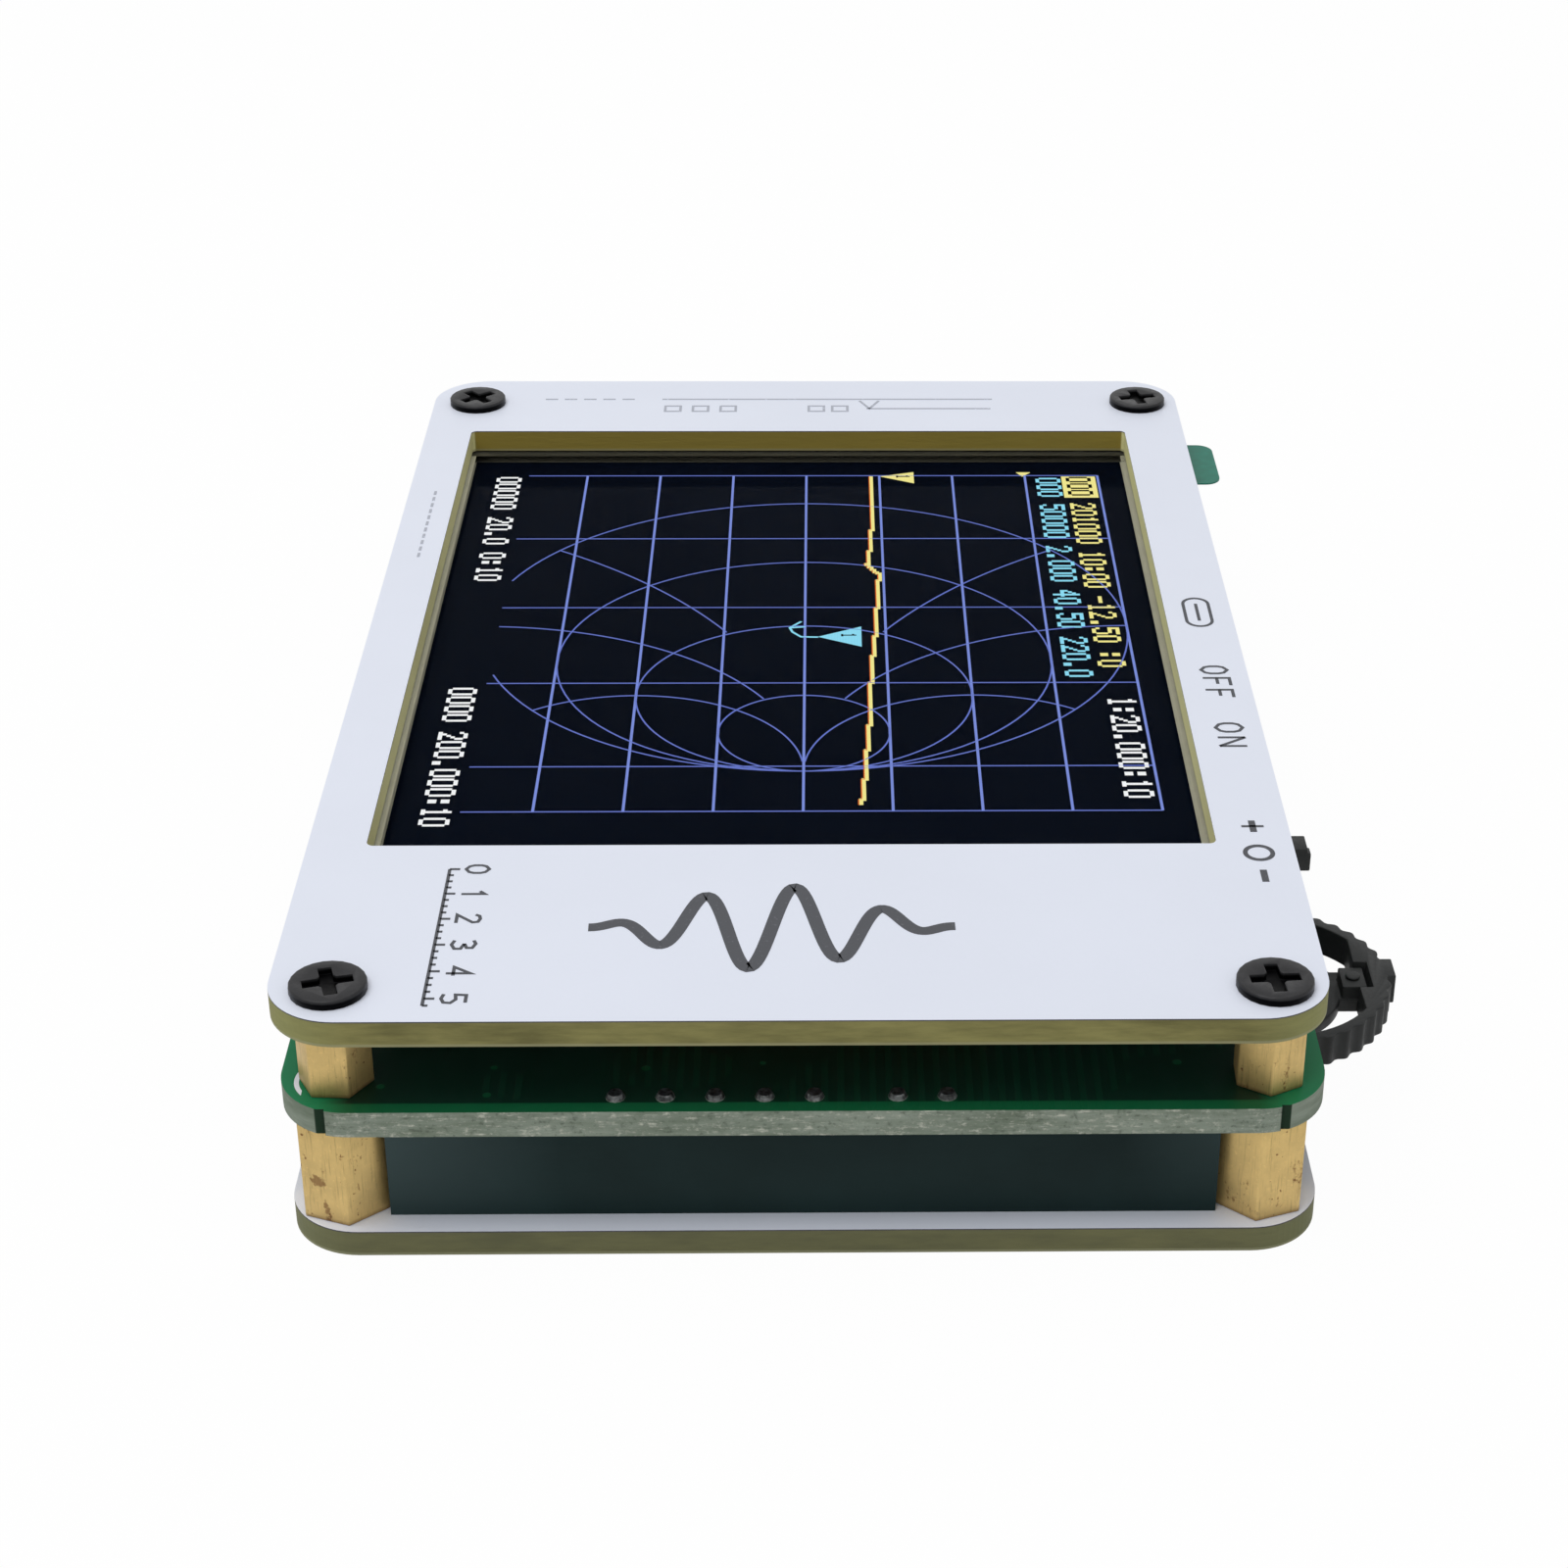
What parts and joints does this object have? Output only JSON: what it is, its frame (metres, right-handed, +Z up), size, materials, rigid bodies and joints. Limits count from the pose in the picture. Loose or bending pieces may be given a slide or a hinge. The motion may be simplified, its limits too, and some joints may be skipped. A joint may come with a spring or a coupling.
{
  "type": "antenna analyzer",
  "caption": "Pocket antenna analyzer: a touch screen framed by stacked open boards on brass spacers, with antenna ports, a slide switch and a jog wheel.",
  "frame": {"origin": "centre of the bottom cover's flat underside, on which the analyzer lies", "axes": "+Z up out of the screen, +Y along the length towards the antenna ports, +X towards the jog wheel and the switch"},
  "size_m": [0.06, 0.0951, 0.015],
  "materials": {
    "white_board": "satin white solder mask",
    "green_board": "glossy green solder mask",
    "brass_spacer": "dull turned brass",
    "black_screw": "black plated",
    "plain_screw": "plain plated",
    "gold_port": "gold plated",
    "white_insulator": "waxy white",
    "steel_shell": "bright rolled sheet",
    "black_plastic": "moulded satin black",
    "white_plastic": "moulded white",
    "dark_glass": "polished dark glass",
    "clear_glass": "polished",
    "green_film": "thin clear film with a green tab",
    "grey_tape": "thick foam tape",
    "amber_film": "satin amber polyimide",
    "grey_wrap": "satin grey wrap",
    "black_chip": "moulded black epoxy",
    "red_lead": "smooth insulation",
    "black_lead": "smooth insulation"
  },
  "bodies": {
    "stack": {"top_cover": "white_board", "main_board": "green_board", "bottom_cover": "white_board", "upper_spacer_near_left": "brass_spacer", "upper_spacer_near_right": "brass_spacer", "upper_spacer_far_left": "brass_spacer", "upper_spacer_far_right": "brass_spacer", "lower_spacer_near_left": "brass_spacer", "lower_spacer_near_right": "brass_spacer", "lower_spacer_far_left": "brass_spacer", "lower_spacer_far_right": "brass_spacer", "top_screw_near_left": "black_screw", "top_screw_near_right": "black_screw", "top_screw_far_left": "black_screw", "top_screw_far_right": "black_screw", "bottom_screw_near_left": "plain_screw", "bottom_screw_near_right": "plain_screw", "bottom_screw_far_left": "plain_screw", "bottom_screw_far_right": "plain_screw", "mounting_tape_left": "grey_tape", "mounting_tape_right": "grey_tape", "backlight": "white_plastic", "display_cell": "dark_glass", "display_driver": "black_chip", "display_flex": "amber_film", "touch_panel": "clear_glass", "screen_film": "green_film", "battery_adhesive": "white_plastic", "battery_cell": "grey_wrap", "battery_protection_board": "amber_film", "battery_socket": "white_plastic", "battery_plug": "white_plastic", "battery_lead_red": "red_lead", "battery_lead_black": "black_lead", "usb_shell": "steel_shell", "usb_tongue": "black_plastic", "slide_switch_case": "steel_shell", "jog_base": "black_plastic", "port_body_left": "gold_port", "port_insulator_left": "white_insulator", "port_contact_left": "gold_port", "port_body_right": "gold_port", "port_insulator_right": "white_insulator", "port_contact_right": "gold_port", "shield_can": "steel_shell", "microcontroller": "black_chip", "clock_generator": "black_chip", "clock_crystal": "steel_shell", "mixer_left": "black_chip", "mixer_middle": "black_chip", "mixer_right": "black_chip", "charger_chip": "black_chip"},
    "power_knob": {"slide_switch_knob": "black_plastic"},
    "jog_slider": {"jog_carriage": "black_plastic"},
    "jog_lever": {"jog_wheel": "black_plastic"}
  },
  "joints": [
    {"name": "power_switch", "type": "slide", "parent": "stack", "child": "power_knob", "axis": [0, 1, 0], "range_m": [0, 0.002]},
    {"name": "jog_push", "type": "slide", "parent": "stack", "child": "jog_slider", "axis": [-1, 0, 0], "range_m": [0, 0.0004], "stiffness_N_per_m": 1500},
    {"name": "jog_turn", "type": "hinge", "parent": "jog_slider", "child": "jog_lever", "pos_m": [0.02575, -0.0272, 0.0063], "axis": [0, 0, 1], "range_deg": [-15, 15], "stiffness_Nm_per_rad": 0.03}
  ]
}
